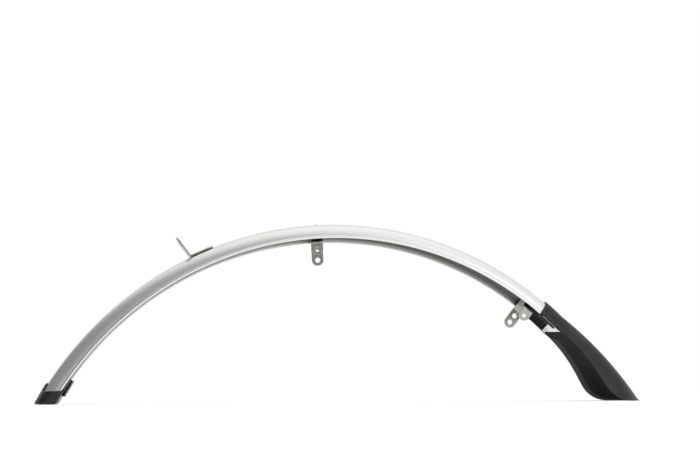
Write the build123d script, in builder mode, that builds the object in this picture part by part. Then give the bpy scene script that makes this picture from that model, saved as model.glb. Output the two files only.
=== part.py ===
from build123d import *
import os
from math import acos, asin, cos, degrees, radians, sin, sqrt, tan

# Front bicycle mudguard for a 28 inch wheel, standing on its cap and its flap as on a bench.
# +X runs to the rear end, +Y across, +Z up from the ground. Millimetres and degrees.

# Stance
axis_drop = 170.0  # wheel axis below the ground line

# Blade, roll-formed from aluminium strip
edge_radius = 350.0  # wheel axis to the lip of the side walls
blade_width = 50.0
blade_depth = 17.5
sheet = 0.9
shoulder_bend = 13.0
bead_diameter = 3.2
bead_turn = 250.0
wall_end_angle = 44.7  # where the beads stop at the rear end
tail_length = 12.0  # how far the crown runs on past the beads
tail_round = 9.0

# Front end cap, moulded plastic pushed over the blade
cap_gap = 0.2
cap_wall = 1.8
cap_floor = 2.5
cap_height = 14.0
cap_corner = 12.0
toe_round = 1.5
tongue_half_width = 11.0
tongue_height = 22.7
tongue_round = 5.5
tongue_foot_round = 2.5
grip_width = 28.0
grip_low = 10.5
grip_high = 26.5
grip_thick_low = 5.2
grip_thick_high = 4.0
grip_round = 2.0
grip_teeth = 8
grip_tooth_depth = 0.7

# Fork bracket, bent from steel strip and riveted to the crown
fork_angle = -24.4
fork_strip = 1.5
fork_width = 20.0
fork_foot = 27.0
fork_upright = 26.0
fork_bend_angle = 102.4
fork_bend_radius = 2.5
fork_corner = 6.0
fork_end_round = 9.0
fork_hole_diameter = 6.5
fork_hole_margin = 9.0
fork_rivet_spots = (-4.5, 7.0)  # along the foot from its middle

# Stay brackets, two like pressings riveted inside the crown
stay_angles = {"front_stay": -3.95, "rear_stay": 38.05}
stay_swivels = {"front_stay": -7.5, "rear_stay": 2.5}
stay_strip = 1.5
stay_width = 13.0
stay_seat_gap = 0.3
stay_saddle = 10.0
stay_knee = 13.5
stay_knee_rise = 0.6  # above the lip of the blade
stay_ear = 17.0
stay_ear_drop = 3.6
stay_hole_diameter = 5.8
stay_hole_drop = 11.0
stay_hole_pitch = 9.0
stay_end_margin = 6.3
stay_end_round = 6.3
stay_bend = 1.8

# Rivets
rivet_diameter = 4.0
rivet_hole_gap = 0.1
rivet_head_diameter = 7.5
rivet_head_height = 0.9
rivet_tail_diameter = 6.0
rivet_tail_height = 1.4

# Mud flap, one moulding: a sleeve on the blade and two widening wings
flap_gap = 0.2
flap_wall = 2.0
sleeve_angle = 40.2
band_angle = 44.0
band_wall = 1.5
band_lip_drop = 1.4
hook_length = 3.0
hook_wall = 1.6
tip_rise = 15.5  # how far the crown stands out at the tip, over the sleeve
tip_widening = 17.0  # on each side
wing_shoulder = 14.0
wing_edge_lift = 0.8  # free edge above the lip of the blade
wing_corner = 34.0
rim_width = 2.6
rim_height = 0.9
flap_rivet_angle = 43.0


def sagitta(bend, half):
    """Rise of an arc of radius bend over a chord of twice half."""
    return bend - sqrt(bend**2 - half**2)


# Worked out from the driving sizes
half_width = blade_width / 2
bead_radius = bead_diameter / 2
curl_radius = (bead_diameter - sheet) / 2
bead_place = half_width - bead_radius
bead_level = edge_radius + bead_radius
wall_mid = bead_place - curl_radius
wall_face = wall_mid + sheet / 2
crown_radius = edge_radius + blade_depth
crown_mid = crown_radius - sheet / 2
crown_bend = blade_width
wall_rise = crown_mid - sagitta(crown_bend, wall_mid) - bead_level
shoulder_round = min(shoulder_bend, 1.3 * wall_rise)  # a low wall leaves room for a smaller bend
face_bend = crown_bend + sheet / 2
face_corner = shoulder_round + sheet / 2
pocket_half = half_width + cap_gap
pocket_crown = crown_radius + cap_gap
pocket_bottom = edge_radius - cap_gap
cap_half = pocket_half + cap_wall
cap_crown = pocket_crown + cap_wall
cap_bend = face_bend + cap_gap + cap_wall
toe_lean = degrees(acos(axis_drop / cap_crown))
toe_cut = toe_round * (1 / tan(radians(toe_lean / 2)) - 1)
front_reach = sqrt(cap_crown**2 - axis_drop**2) - toe_cut
flap_skin = flap_gap + flap_wall
flap_crown = crown_radius + flap_skin
tip_radius = flap_crown + tip_rise
tip_angle = degrees(acos(axis_drop / tip_radius))
tip_reach = sqrt((tip_radius + rim_height) ** 2 - axis_drop**2)
axis_x = (front_reach - tip_reach) / 2
axis_point = Vector(axis_x, 0, -axis_drop)
wheel_axis = Axis(axis_point, (0, 1, 0))
rivet_hole = rivet_diameter + 2 * rivet_hole_gap


def arc_plane(angle):
    """Cross-section plane of the blade: local x across, local y out from the wheel axis."""
    turn = radians(angle)
    return Plane(origin=axis_point, x_dir=(0, 1, 0), z_dir=(cos(turn), 0, -sin(turn)))


def side_plane(angle, radius):
    """Plane of symmetry at a point of the arc: local x rearward along it, local y outward."""
    turn = radians(angle)
    outward = Vector(sin(turn), 0, cos(turn))
    return Plane(origin=axis_point + outward * radius, x_dir=(cos(turn), 0, -sin(turn)), z_dir=(0, -1, 0))


def draw_arch(half, crown, bend, corner, bottom, mode=Mode.ADD):
    """Closed outline of a crowned channel: straight sides, rounded shoulders, one crown arc."""
    shoulder = crown - sagitta(bend, half)
    with BuildLine() as outline:
        Polyline((half, shoulder), (half, bottom), (-half, bottom), (-half, shoulder))
        ThreePointArc((-half, shoulder), (0, crown), (half, shoulder))
        fillet(outline.vertices().sort_by(Axis.Y)[-2:], corner)
    make_face(outline.edges(), mode=mode)


def draw_blade_section():
    """Rolled strip section, from one curled lip to the other."""
    shoulder = crown_mid - sagitta(crown_bend, wall_mid)
    with BuildLine() as path:
        CenterArc((-bead_place, bead_level), curl_radius, 360 - bead_turn, bead_turn)
        Line((-wall_mid, bead_level), (-wall_mid, shoulder))
        ThreePointArc((-wall_mid, shoulder), (0, crown_mid), (wall_mid, shoulder))
        Line((wall_mid, shoulder), (wall_mid, bead_level))
        CenterArc((bead_place, bead_level), curl_radius, 180, bead_turn)
        fillet(path.vertices().sort_by(Axis.Y)[-2:], shoulder_round)
    trace(path.line, line_width=sheet)


def set_on(plane, x, y, turn=0):
    """The plane moved in itself and then turned about its normal."""
    return Plane(plane * Pos(x, y, 0) * Rot(0, 0, turn))


def drill(origin, direction, diameter):
    """Round hole through everything near its origin."""
    with BuildSketch(Plane(origin=origin, z_dir=direction)) as hole:
        Circle(diameter / 2)
    extrude(hole.sketch, amount=2 * diameter, both=True, mode=Mode.SUBTRACT)


def make_rivet(plane, grip):
    """Rivet on the plane's local y axis: domed head on its origin, grip below it, then the tail."""
    head = rivet_head_diameter / 2
    tail = rivet_tail_diameter / 2
    grip += sagitta(crown_bend / 2, tail / 2) * 2  # the tail bears on the hollow side of a curved sheet
    head_dome = (head**2 + rivet_head_height**2) / (2 * rivet_head_height)
    tail_dome = (tail**2 + rivet_tail_height**2) / (2 * rivet_tail_height)
    with BuildPart() as rivet:
        with BuildSketch(Plane.XZ):
            with BuildLine():
                RadiusArc((0, rivet_head_height), (head, 0), head_dome)
                Polyline((head, 0), (rivet_diameter / 2, 0), (rivet_diameter / 2, -grip), (tail, -grip))
                RadiusArc((tail, -grip), (0, -grip - rivet_tail_height), tail_dome)
                Line((0, -grip - rivet_tail_height), (0, rivet_head_height))
            make_face()
        revolve(axis=Axis.Z)
    return rivet.part.moved(Plane(origin=plane.origin, x_dir=plane.x_dir, z_dir=plane.y_dir).location)


fork_plane = side_plane(fork_angle, crown_radius)
fork_knee = (-fork_foot / 2, fork_strip / 2)
fork_upright_plane = set_on(fork_plane, *fork_knee, fork_bend_angle)
fork_bolt_plane = set_on(fork_upright_plane, fork_upright - fork_hole_margin, 0)
fork_rivet_planes = [set_on(fork_plane, spot, fork_strip) for spot in fork_rivet_spots]
stay_planes = {name: side_plane(angle, crown_radius) for name, angle in stay_angles.items()}
flap_rivet_plane = side_plane(flap_rivet_angle, flap_crown)
blade_rivet_planes = [*fork_rivet_planes, *stay_planes.values(), flap_rivet_plane]

# Blade: one rolled section swept round the wheel, cut level in front and to a tongue at the back
front_angle = -degrees(acos((axis_drop + cap_floor) / crown_radius)) - 2
tail_angle = wall_end_angle + degrees(tail_length / crown_radius)
with BuildPart() as blade:
    with BuildSketch(arc_plane(front_angle)):
        draw_blade_section()
        split(bisect_by=Plane.YZ, keep=Keep.TOP)
    revolve(axis=wheel_axis, revolution_arc=tail_angle - front_angle)
    split(bisect_by=Plane.XY.offset(cap_floor), keep=Keep.TOP)
    with BuildSketch(side_plane(wall_end_angle, edge_radius)):
        with BuildLine() as tail_cut:
            clear = 2 * blade_depth
            Polyline((0, -blade_depth), (0, 0), (tail_length, tail_length), (clear, clear))
            Polyline((clear, clear), (clear, -blade_depth), (0, -blade_depth))
            fillet(tail_cut.vertices().group_by(Axis.Y)[1], tail_round)
        make_face()
    extrude(amount=blade_width, both=True, mode=Mode.SUBTRACT)
    with Locations(*[Plane(origin=plane.origin, z_dir=plane.y_dir) for plane in blade_rivet_planes]):
        Cylinder(rivet_hole / 2, 4 * flap_skin, mode=Mode.SUBTRACT)
    mirror(about=Plane.XZ)
    add(blade.part.fix(), mode=Mode.REPLACE)

# Ribbed grip on the mouth side of the cap, wedge shaped, with cross serrations
grip_middle = (grip_low + grip_high) / 2
grip_angle = -degrees(acos((axis_drop + grip_middle) / pocket_bottom))
grip_half = (grip_high - grip_low) / 2 / sin(radians(-grip_angle))
grip_pitch = 2 * grip_half / (grip_teeth + 1)
grip_plane = side_plane(grip_angle, pocket_bottom)
grip_face = [(-grip_half, -grip_thick_low), (grip_half, -grip_thick_high)]
with BuildPart() as grip:
    with BuildSketch(grip_plane):
        with BuildLine() as grip_outline:
            Polyline((-grip_half, -cap_wall / 2), *grip_face, (grip_half, -cap_wall / 2), close=True)
            fillet(grip_outline.vertices().group_by(Axis.Y)[0], grip_round)
        make_face()
    extrude(amount=grip_width / 2, both=True)
    with BuildSketch(grip_plane):
        for tooth in range(1, grip_teeth + 1):
            share = tooth / (grip_teeth + 1)
            depth = grip_thick_low + (grip_thick_high - grip_thick_low) * share
            with Locations((-grip_half + grip_pitch * tooth, -depth)):
                Rectangle(grip_pitch * 0.45, 2 * grip_tooth_depth)
    extrude(amount=grip_width, both=True, mode=Mode.SUBTRACT)

# Front end cap: a cup with a level rim and foot, a rounded tongue outside and the grip inside
cap_from = -toe_lean - 4
cap_to = -degrees(acos((axis_drop + tongue_height + 2 * cap_floor) / cap_crown))
with BuildPart() as front_end_cap:
    with BuildSketch(arc_plane(cap_from)):
        draw_arch(cap_half, cap_crown, cap_bend, cap_corner, pocket_bottom - cap_wall)
    revolve(axis=wheel_axis, revolution_arc=cap_to - cap_from)
    split(bisect_by=Plane.XY, keep=Keep.TOP)
    fillet(front_end_cap.faces().sort_by(Axis.Z)[0].edges(), toe_round)
    with BuildSketch(Plane.YZ) as rim_cut:
        upward = (Align.CENTER, Align.MIN)
        tongue = (tongue_half_width * 2, tongue_height - cap_height)
        with Locations((0, cap_height)):
            Rectangle(cap_half * 3, cap_half * 3, align=upward)
            Rectangle(*tongue, align=upward, mode=Mode.SUBTRACT)
        tongue_corners = rim_cut.vertices().filter_by_position(Axis.X, -tongue_half_width, tongue_half_width)
        fillet(tongue_corners.group_by(Axis.Y)[0], tongue_foot_round)
        fillet(rim_cut.vertices().filter_by_position(Axis.Y, tongue_height, tongue_height), tongue_round)
    extrude(amount=tip_reach, both=True, mode=Mode.SUBTRACT)
    add(grip.part)
    with BuildPart(mode=Mode.PRIVATE) as pocket:
        with BuildSketch(arc_plane(cap_from)):
            draw_arch(pocket_half, pocket_crown, cap_bend - cap_wall, cap_corner - cap_wall, pocket_bottom)
        revolve(axis=wheel_axis, revolution_arc=cap_to + 9 - cap_from)
        split(bisect_by=Plane.XY.offset(cap_floor), keep=Keep.TOP)
    add(pocket.part, mode=Mode.SUBTRACT)

# Fork bracket: foot riveted flat on the crown, upright with the bolt hole
with BuildPart() as fork_bracket:
    with BuildSketch(fork_plane):
        with BuildLine() as fork_path:
            Line((fork_foot / 2, fork_knee[1]), fork_knee)
            PolarLine(fork_knee, fork_upright, fork_bend_angle)
            fillet(fork_path.vertices().sort_by_distance(fork_knee)[0], fork_bend_radius)
        trace(line_width=fork_strip)
    extrude(amount=fork_width / 2, both=True)
    foot_up = Axis(fork_plane.origin, fork_plane.y_dir)
    upright_out = Axis(fork_bolt_plane.origin, fork_bolt_plane.y_dir)
    fillet(fork_bracket.edges().filter_by(foot_up), fork_corner)
    fillet(fork_bracket.edges().filter_by(upright_out), fork_end_round)
    drill(fork_bolt_plane.origin, fork_bolt_plane.y_dir, fork_hole_diameter)
    for plane in fork_rivet_planes:
        drill(plane.origin, plane.y_dir, rivet_hole)

with BuildPart() as fork_bracket_rivets:
    for spot, plane in zip(fork_rivet_spots, fork_rivet_planes):
        foot_gap = sagitta(crown_radius, abs(spot) + rivet_tail_diameter / 2)
        add(make_rivet(plane, fork_strip + foot_gap + sheet))


def make_stay_bracket(angle, swivel):
    """Strip bent to a saddle under the crown, two knees and two ears, the longer ear on the +Y side."""
    saddle_bend = crown_bend - sheet / 2 - stay_seat_gap - stay_strip / 2
    saddle_top = crown_radius - sheet - stay_seat_gap - stay_strip / 2
    saddle_end = saddle_top - sagitta(saddle_bend, stay_saddle)
    knee = edge_radius + stay_knee_rise
    ear = edge_radius - stay_ear_drop
    hole = edge_radius - stay_hole_drop
    short_end = hole - stay_end_margin
    long_end = short_end - stay_hole_pitch
    plane = Plane(arc_plane(angle) * Rot(0, swivel, 0))
    with BuildPart() as bracket:
        with BuildSketch(plane):
            with BuildLine() as path:
                short_side = [(-stay_ear, short_end), (-stay_ear, ear), (-stay_knee, knee)]
                long_side = [(stay_knee, knee), (stay_ear, ear), (stay_ear, long_end)]
                Polyline(*short_side, (-stay_saddle, saddle_end))
                ThreePointArc((-stay_saddle, saddle_end), (0, saddle_top), (stay_saddle, saddle_end))
                Polyline((stay_saddle, saddle_end), *long_side)
                fillet(path.vertices().sort_by(Axis.Y)[2:], stay_bend)
            trace(line_width=stay_strip)
        extrude(amount=stay_width / 2, both=True)
        fillet(bracket.edges().filter_by(Axis(plane.origin, plane.x_dir)), stay_end_round)
        for level in (hole, hole - stay_hole_pitch):
            drill(plane.from_local_coords((stay_ear, level)), plane.x_dir, stay_hole_diameter)
            drill(plane.from_local_coords((-stay_ear, level)), plane.x_dir, stay_hole_diameter)
        drill(plane.from_local_coords((0, crown_radius)), plane.y_dir, rivet_hole)
    return bracket


front_stay_bracket = make_stay_bracket(stay_angles["front_stay"], stay_swivels["front_stay"])
rear_stay_bracket = make_stay_bracket(stay_angles["rear_stay"], stay_swivels["rear_stay"])

stay_grip = sheet + stay_seat_gap + stay_strip
with BuildPart() as front_stay_rivet:
    add(make_rivet(stay_planes["front_stay"], stay_grip))

with BuildPart() as rear_stay_rivet:
    add(make_rivet(stay_planes["rear_stay"], stay_grip))

# Mud flap: hollow widening arch, trimmed in side view to the free edges and the level foot
sleeve_low = edge_radius + bead_diameter + flap_gap
lip_bottom = edge_radius - flap_gap - band_lip_drop
band_inset = sheet + flap_gap
outer_outline = [wall_face, crown_radius, face_bend, face_corner]
band_outline = [size - band_inset for size in outer_outline]
hook_outside = half_width + flap_gap + hook_wall
step_angle = wall_end_angle + degrees((bead_diameter + flap_gap) / edge_radius)
wing_edge_radius = edge_radius + wing_edge_lift


def draw_flap(angle, inset, bottom):
    """Cross-section of the flap at an angle: constant on the blade, rising and widening behind it."""
    share = max(0, angle - band_angle) / (tip_angle - band_angle)
    half = wall_face + flap_skin + tip_widening * share
    crown = flap_crown + tip_rise * share**2
    corner = face_corner + flap_skin
    corner += (wing_shoulder - corner) * share
    draw_arch(half - inset, crown - inset, face_bend + flap_skin - inset, corner - inset, bottom)


def make_flap_form(inset):
    """Solid form of the flap: turned about the wheel axis on the blade, lofted behind it."""
    bottom = edge_radius - blade_depth - inset
    with BuildPart() as form:
        with BuildSketch(arc_plane(sleeve_angle - abs(inset))):
            draw_flap(band_angle, inset, bottom)
        revolve(axis=wheel_axis, revolution_arc=band_angle - sleeve_angle + abs(inset))
        for step in range(6):
            angle = band_angle + (tip_angle + 3 - band_angle) * step / 5
            with BuildSketch(arc_plane(angle)):
                draw_flap(angle, inset, bottom)
        loft()
    return form.part


def draw_wing_side(inset):
    """Side view of the flap inside its free edges, moved in by an inset, from the wheel axis."""
    with BuildLine() as trim:
        sleeve_edge = CenterArc((0, 0), sleeve_low, 90 - step_angle, step_angle - sleeve_angle + 1)
        level = axis_drop + inset
        edge = wing_edge_radius + inset
        foot_angle = degrees(asin(level / edge))
        wing_edge = CenterArc((0, 0), edge, foot_angle, 90 - step_angle - foot_angle)
        Line(sleeve_edge @ 0, wing_edge @ 1)
        Polyline(wing_edge @ 0, (2 * tip_reach, level), (2 * tip_reach, 2 * tip_reach), sleeve_edge @ 1)
        fillet(trim.vertices().sort_by_distance(wing_edge @ 0)[0], wing_corner - inset)
    make_face(trim.edges())


side_view = Plane(origin=axis_point, x_dir=(1, 0, 0), z_dir=(0, -1, 0))
with BuildPart() as rim:
    add(make_flap_form(-rim_height))
    with BuildSketch(side_view):
        draw_wing_side(0)
    extrude(amount=2 * tip_reach, both=True, mode=Mode.INTERSECT)
    with BuildSketch(side_view):
        draw_wing_side(rim_width)
    extrude(amount=2 * tip_reach, both=True, mode=Mode.SUBTRACT)
    split(bisect_by=Plane(origin=axis_point, z_dir=arc_plane(step_angle).z_dir), keep=Keep.TOP)

with BuildPart() as mud_flap:
    add(make_flap_form(0))
    with BuildSketch(side_view):
        draw_wing_side(0)
    extrude(amount=2 * tip_reach, both=True, mode=Mode.INTERSECT)
    add(rim.part)
    add(make_flap_form(flap_wall), mode=Mode.SUBTRACT)
    with BuildSketch(arc_plane(sleeve_angle)):
        draw_arch(*band_outline, lip_bottom)
        draw_arch(*[size - band_wall for size in band_outline], lip_bottom - band_wall, mode=Mode.SUBTRACT)
    revolve(axis=wheel_axis, revolution_arc=band_angle - sleeve_angle)
    with BuildSketch(arc_plane(sleeve_angle)):
        for side in (1, -1):
            hook_inside = band_outline[0] - band_wall
            hook_middle = (hook_inside + hook_outside) / 2
            hook_top = sleeve_low + hook_wall
            with Locations((side * hook_middle, (lip_bottom + hook_top) / 2)):
                Rectangle(hook_outside - hook_inside, hook_top - lip_bottom)
            with Locations((side * bead_place, bead_level)):
                Circle(bead_radius + flap_gap, mode=Mode.SUBTRACT)
            with Locations((side * wall_mid, bead_level + blade_depth / 2)):
                Rectangle(sheet + 2 * flap_gap, blade_depth, mode=Mode.SUBTRACT)
    revolve(axis=wheel_axis, revolution_arc=degrees(hook_length / edge_radius))
    drill(flap_rivet_plane.origin, flap_rivet_plane.y_dir, rivet_hole)
    add(mud_flap.part.fix(), mode=Mode.REPLACE)

with BuildPart() as flap_rivet:
    add(make_rivet(flap_rivet_plane, flap_skin + sheet + flap_gap + band_wall))

parts_by_name = {
    "blade": blade,
    "front_end_cap": front_end_cap,
    "fork_bracket": fork_bracket,
    "fork_bracket_rivets": fork_bracket_rivets,
    "front_stay_bracket": front_stay_bracket,
    "front_stay_rivet": front_stay_rivet,
    "rear_stay_bracket": rear_stay_bracket,
    "rear_stay_rivet": rear_stay_rivet,
    "mud_flap": mud_flap,
    "flap_rivet": flap_rivet,
}
os.makedirs("parts", exist_ok=True)
for label, node in parts_by_name.items():
    node.part.label = label
    export_step(node.part, f"parts/{label}.step")
    print(label, round(node.part.volume), len(node.part.solids()), node.part.is_valid)
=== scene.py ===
import math

import bmesh
import bpy
from mathutils import Matrix, Vector


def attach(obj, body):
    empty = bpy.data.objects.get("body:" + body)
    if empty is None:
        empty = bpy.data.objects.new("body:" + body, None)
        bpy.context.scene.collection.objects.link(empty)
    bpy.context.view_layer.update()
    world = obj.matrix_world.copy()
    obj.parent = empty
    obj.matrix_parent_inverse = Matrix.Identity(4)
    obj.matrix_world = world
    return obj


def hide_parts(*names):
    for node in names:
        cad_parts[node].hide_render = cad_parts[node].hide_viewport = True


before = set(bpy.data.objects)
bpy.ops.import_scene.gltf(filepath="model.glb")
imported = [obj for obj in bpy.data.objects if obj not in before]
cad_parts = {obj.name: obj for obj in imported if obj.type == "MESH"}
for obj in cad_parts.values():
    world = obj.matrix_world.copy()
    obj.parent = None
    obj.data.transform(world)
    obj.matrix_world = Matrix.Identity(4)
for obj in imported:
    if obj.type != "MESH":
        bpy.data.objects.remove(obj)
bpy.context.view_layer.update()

# Blade. One strip of aluminium 0.9 mm thick, roll-formed to a crowned channel with both lips curled
# outward into beads, bent to the radius of the wheel and satin anodised. Its level front end stands
# in the cap, and the crown runs on past the beads as a tongue under the flap.
axis_drop = 0.170
wheel_x, wheel_z = -0.009778, -axis_drop
blade_sheet, half_sheet = 0.0009, 0.00045
edge_radius, crown_radius, wall_face = 0.3500, 0.3675, 0.0227
curl, bead_y, bead_level = 0.00115, 0.0234, 0.3516
wall_y, shoulder_bend, crown_bend, crown_level = 0.02225, 0.013, 0.050, 0.36705
bead_end = math.radians(44.7)
bead_steps, bead_start, bead_sweep = 14, 70, 250
blade_length, shade_stops_from = 0.69, 0.652
tongue_from, tongue_long = 0.351, 0.0122


def on_arc(radius, turn, y):
    """Point at a radius from the wheel axis, turned from the top towards the rear end."""
    return (wheel_x + radius * math.sin(turn), y, wheel_z + radius * math.cos(turn))


def arch_line(half, crown, bend, corner, foot, wall_steps, corner_steps, crown_steps):
    """Crowned channel from the +Y foot over the top to the other foot.

    Each point is (y, radius, normal y, normal out).
    """
    centre = crown - bend
    corner_y = half - corner
    corner_r = centre + math.sqrt((bend - corner) ** 2 - corner_y**2)
    leave = math.atan2(corner_r - centre, corner_y)
    line = [(half, foot + (corner_r - foot) * k / wall_steps, 1.0, 0.0) for k in range(wall_steps)]
    for k in range(corner_steps):
        a = leave * k / corner_steps
        c, s = math.cos(a), math.sin(a)
        line.append((corner_y + corner * c, corner_r + corner * s, c, s))
    for k in range(crown_steps + 1):
        a = leave + (math.pi / 2 - leave) * k / crown_steps
        c, s = math.cos(a), math.sin(a)
        line.append((bend * c, centre + bend * s, c, s))
    return line + [(-y, r, -ny, nr) for y, r, ny, nr in reversed(line[:-1])]


def put_in_scene(name, verts, faces, node, smooth_below=40, uvs=None):
    """A mesh piece in the scene that stands for one solid of the frame."""
    mesh = bpy.data.meshes.new(name)
    mesh.from_pydata(verts, [], faces)
    if uvs:
        layer = mesh.uv_layers.new(name="along_across")
        for loop, uv in zip(layer.data, uvs):
            loop.uv = uv
    shell = bmesh.new()
    shell.from_mesh(mesh)
    bmesh.ops.recalc_face_normals(shell, faces=shell.faces)
    shell.to_mesh(mesh)
    shell.free()
    mesh.shade_smooth()
    mesh.set_sharp_from_angle(angle=math.radians(smooth_below))
    piece = bpy.data.objects.new(name, mesh)
    bpy.context.scene.collection.objects.link(piece)
    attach(piece, "root")
    if node:
        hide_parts(node)
    return piece


def anodised(name, tint, rough, streak, edge=0.78, painted_shade=None):
    """Satin or bright aluminium: rolling lines along the strip and a faint cloudy grain.

    edge is how bright it stays at a grazing angle. The last argument (middle, from, to, share) is
    painted shade: it lowers the colour in the middle of the strip, up to the rear end, to match the dark
    band that the photograph shows there.
    """
    mat = bpy.data.materials.new(name)
    mat.use_nodes = True
    nodes, links = mat.node_tree.nodes, mat.node_tree.links
    bsdf = nodes["Principled BSDF"]
    bsdf.inputs["Metallic"].default_value = 1.0
    bsdf.inputs["Specular Tint"].default_value = (edge, edge, 0.99 * edge, 1)
    place = nodes.new("ShaderNodeTexCoord")
    stretch = nodes.new("ShaderNodeMapping")
    stretch.inputs["Scale"].default_value = (14, 1500, 1)
    links.new(place.outputs["UV"], stretch.inputs["Vector"])
    lines = nodes.new("ShaderNodeTexNoise")
    lines.inputs["Scale"].default_value = 1.0
    lines.inputs["Detail"].default_value = 5
    links.new(stretch.outputs[0], lines.inputs["Vector"])
    cloud = nodes.new("ShaderNodeTexNoise")
    cloud.inputs["Scale"].default_value = 210
    cloud.inputs["Detail"].default_value = 6
    cloud.inputs["Roughness"].default_value = 0.6
    links.new(place.outputs["Object"], cloud.inputs["Vector"])
    both = nodes.new("ShaderNodeMix")
    both.inputs[0].default_value = streak
    links.new(cloud.outputs[0], both.inputs[2])
    links.new(lines.outputs[0], both.inputs[3])
    colour = nodes.new("ShaderNodeValToRGB")
    colour.color_ramp.elements[0].position, colour.color_ramp.elements[1].position = 0.30, 0.70
    colour.color_ramp.elements[0].color = (*(0.94 * c for c in tint), 1)
    colour.color_ramp.elements[1].color = (*tint, 1)
    links.new(both.outputs[0], colour.inputs[0])
    links.new(colour.outputs[0], bsdf.inputs["Base Color"])
    # Painted shade: the base colour is scaled down to the share near the middle of the strip, and back
    # to full towards both lips and at the rear end.
    if painted_shade:
        split = nodes.new("ShaderNodeSeparateXYZ")
        from_middle = nodes.new("ShaderNodeMath")
        from_middle.operation = "SUBTRACT"
        from_middle.inputs[1].default_value = painted_shade[0]
        either_side = nodes.new("ShaderNodeMath")
        either_side.operation = "ABSOLUTE"
        out_of_shade = nodes.new("ShaderNodeMapRange")
        out_of_shade.interpolation_type = "SMOOTHSTEP"
        out_of_shade.inputs["From Min"].default_value = painted_shade[1]
        out_of_shade.inputs["From Max"].default_value = painted_shade[2]
        out_of_shade.inputs["To Min"].default_value = painted_shade[3]
        shade_stops = nodes.new("ShaderNodeMapRange")
        shade_stops.interpolation_type = "SMOOTHSTEP"
        shade_stops.inputs["From Min"].default_value = shade_stops_from
        shade_stops.inputs["From Max"].default_value = blade_length
        brighter = nodes.new("ShaderNodeMath")
        brighter.operation = "MAXIMUM"
        links.new(out_of_shade.outputs[0], brighter.inputs[0])
        links.new(shade_stops.outputs[0], brighter.inputs[1])
        deepen = nodes.new("ShaderNodeVectorMath")
        deepen.operation = "SCALE"
        links.new(place.outputs["UV"], split.inputs[0])
        links.new(split.outputs["X"], shade_stops.inputs["Value"])
        links.new(split.outputs["Y"], from_middle.inputs[0])
        links.new(from_middle.outputs[0], either_side.inputs[0])
        links.new(either_side.outputs[0], out_of_shade.inputs["Value"])
        links.new(colour.outputs[0], deepen.inputs[0])
        links.new(brighter.outputs[0], deepen.inputs["Scale"])
        links.new(deepen.outputs[0], bsdf.inputs["Base Color"])
    gloss = nodes.new("ShaderNodeMapRange")
    gloss.inputs["To Min"].default_value = rough - 0.03
    gloss.inputs["To Max"].default_value = rough + 0.05
    links.new(both.outputs[0], gloss.inputs["Value"])
    links.new(gloss.outputs[0], bsdf.inputs["Roughness"])
    bump = nodes.new("ShaderNodeBump")
    bump.inputs["Strength"].default_value = 0.04
    bump.inputs["Distance"].default_value = 0.00006
    links.new(both.outputs[0], bump.inputs["Height"])
    links.new(bump.outputs[0], bsdf.inputs["Normal"])
    return mat


sheet_line = arch_line(wall_y, crown_level, crown_bend, shoulder_bend, bead_level, 6, 12, 10)
bead_line = []
for step in range(bead_steps):
    a = math.radians(bead_start - bead_sweep * step / bead_steps)
    c, s = math.cos(a), math.sin(a)
    bead_line.append((bead_y + curl * c, bead_level + curl * s, c, s))
right_bead = [(y, r, -ny, -nr) for y, r, ny, nr in bead_line]
left_bead = [(-y, r, -ny, nr) for y, r, ny, nr in reversed(right_bead)]
roll = right_bead + sheet_line + left_bead
outline = [(y + half_sheet * ny, r + half_sheet * nr) for y, r, ny, nr in roll]
lip_fade, lip_thinner = 0.0032, 0.00040
thinned = []
for k, (y, r, ny, nr) in enumerate(roll):
    if bead_steps <= k < len(roll) - bead_steps:
        at_lip = max(0.0, 1 - max(0.0, r - bead_level) / lip_fade)
    else:
        from_lip = min(abs(k - bead_steps), abs(len(roll) - 1 - bead_steps - k))
        at_lip = max(0.0, 1 - from_lip / 5)
    inner = half_sheet - lip_thinner * at_lip
    thinned.append((y - inner * ny, r - inner * nr))
outline += thinned[::-1]
run = [0.0]
for a, b in zip(outline, outline[1:]):
    run.append(run[-1] + math.dist(a, b))
inside_middle = (run[len(roll)] + run[-1]) / 2
blade_foot = 0.0025
rows, count = 250, len(outline)
verts, faces, uvs = [], [], []
for row in range(rows + 1):
    for y, r in outline:
        start = -math.acos((blade_foot - wheel_z) / r)
        end = bead_end + max(0.0, min(tongue_long, r - tongue_from)) / r
        verts.append(on_arc(r, start + (end - start) * row / rows, y))
for row in range(rows):
    for k in range(count):
        nxt = (k + 1) % count
        p, q = row * count, (row + 1) * count
        faces.append((p + k, q + k, q + nxt, p + nxt))
        u0, u1 = row / rows * blade_length, (row + 1) / rows * blade_length
        v0, v1 = run[k], run[nxt] if nxt else run[k] + blade_sheet
        uvs += [(u0, v0), (u1, v0), (u1, v1), (u0, v1)]
for row, turned in ((0, 1), (rows, -1)):
    for k in range(len(roll) - 1):
        ring = [row * count + j for j in (k, k + 1, count - 2 - k, count - 1 - k)][::turned]
        faces.append(tuple(ring))
        uvs += [(0.0, 0.0), (0.0, blade_sheet), (blade_sheet, blade_sheet), (blade_sheet, 0.0)]
blade = put_in_scene("blade_sheet", verts, faces, "blade", 50, uvs)
blade.data.materials.append(anodised("satin_outside", (0.86, 0.865, 0.845), 0.33, 0.45))
# Painted shade inside the blade: the underside of the crown is painted dark, down to 0.12 of its colour,
# and the walls near the lips keep their full colour.
painted_shade_band = (inside_middle, 0.0262, 0.0348, 0.12)
blade.data.materials.append(
    anodised("bright_inside", (0.90, 0.895, 0.875), 0.28, 0.30, 0.20, painted_shade_band)
)
# Painted shade: the underside of each bead is painted a dark grey, about a third of the blade's colour.
blade.data.materials.append(anodised("painted_shade_under_bead", (0.27, 0.267, 0.26), 0.36, 0.40, 0.25))
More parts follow.
